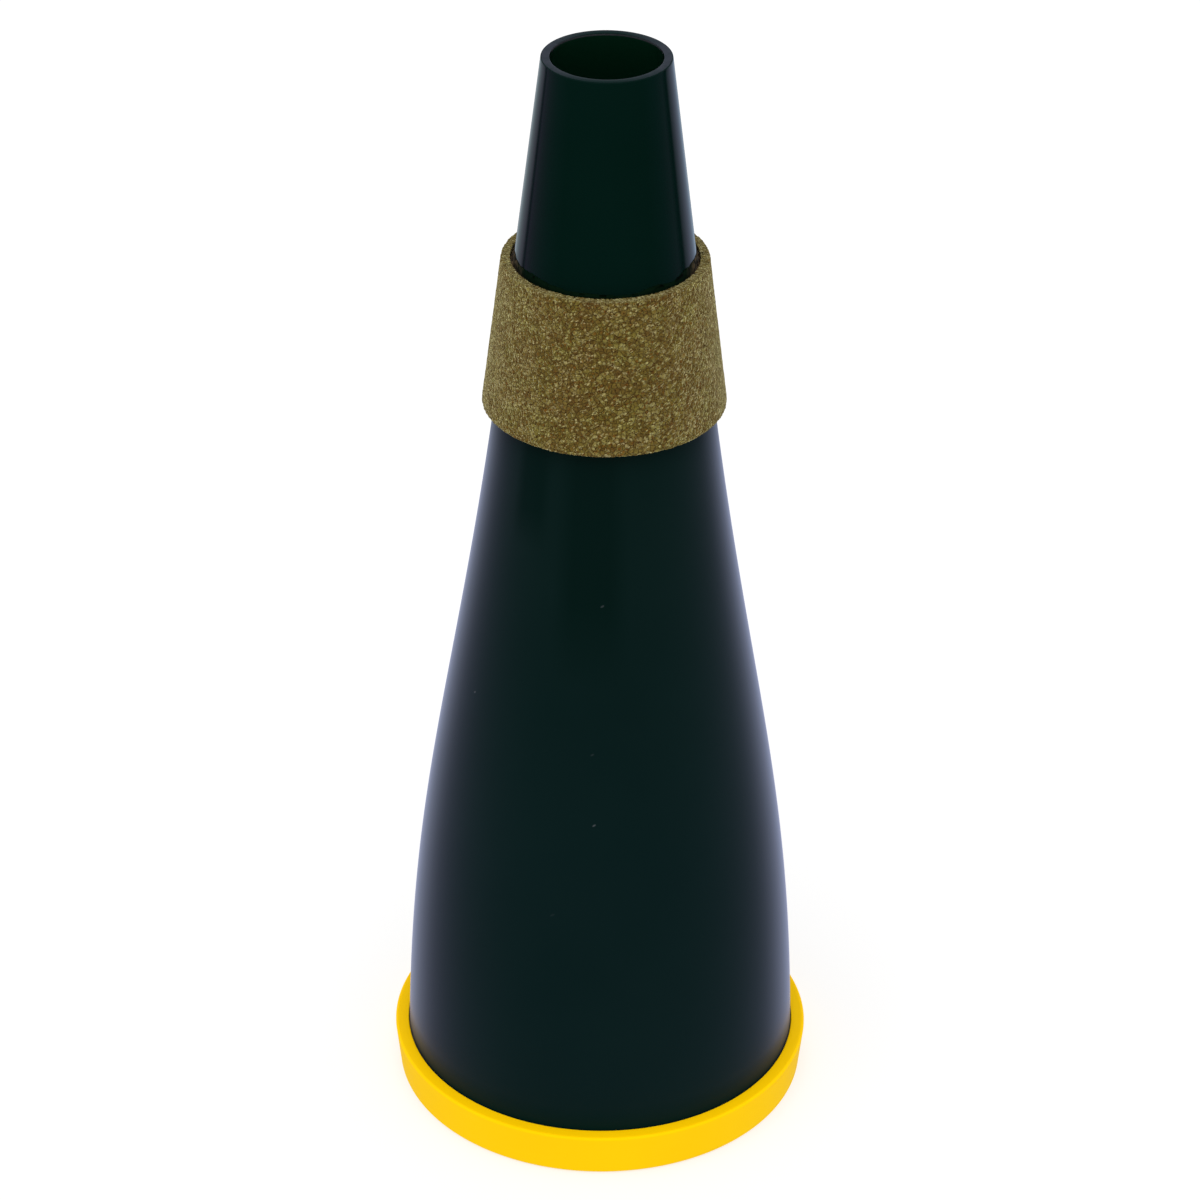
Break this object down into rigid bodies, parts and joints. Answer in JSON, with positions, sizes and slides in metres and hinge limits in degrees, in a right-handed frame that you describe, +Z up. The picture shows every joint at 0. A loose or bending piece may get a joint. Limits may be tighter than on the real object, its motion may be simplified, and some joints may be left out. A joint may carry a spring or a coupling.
{
  "type": "trumpet practice mute",
  "caption": "Conical black plastic trumpet practice mute with a tapered cork collar, a yellow soft ring round its wide end and an inner vent tube.",
  "frame": {"origin": "centre of the flat ring at the wide end that the mute stands on", "axes": "+Z up the mute's axis towards its narrow open mouth; the mute is round about +Z"},
  "size_m": [0.0644, 0.0644, 0.17],
  "materials": {
    "shell_plastic": "satin black ABS",
    "cork": "ground agglomerated cork",
    "cork_glue": "dark contact adhesive",
    "bumper_rubber": "smooth yellow rubber",
    "plate_plastic": "fine-textured black plastic",
    "bond_glue": "set epoxy",
    "tube_plastic": "extruded black tube",
    "grommet_rubber": "dark grey rubber",
    "felt": "grey pressed felt",
    "foam": "open-cell foam"
  },
  "bodies": {
    "root": {"body_shell": "shell_plastic", "cork_collar": "cork", "cork_glue_bed": "cork_glue", "rim_bumper": "bumper_rubber", "base_plate": "plate_plastic", "base_bond_ring": "bond_glue", "vent_tube": "tube_plastic", "vent_grommet": "grommet_rubber", "tube_baffle": "plate_plastic", "damping_sleeve": "felt", "base_pad": "foam"}
  },
  "joints": []
}
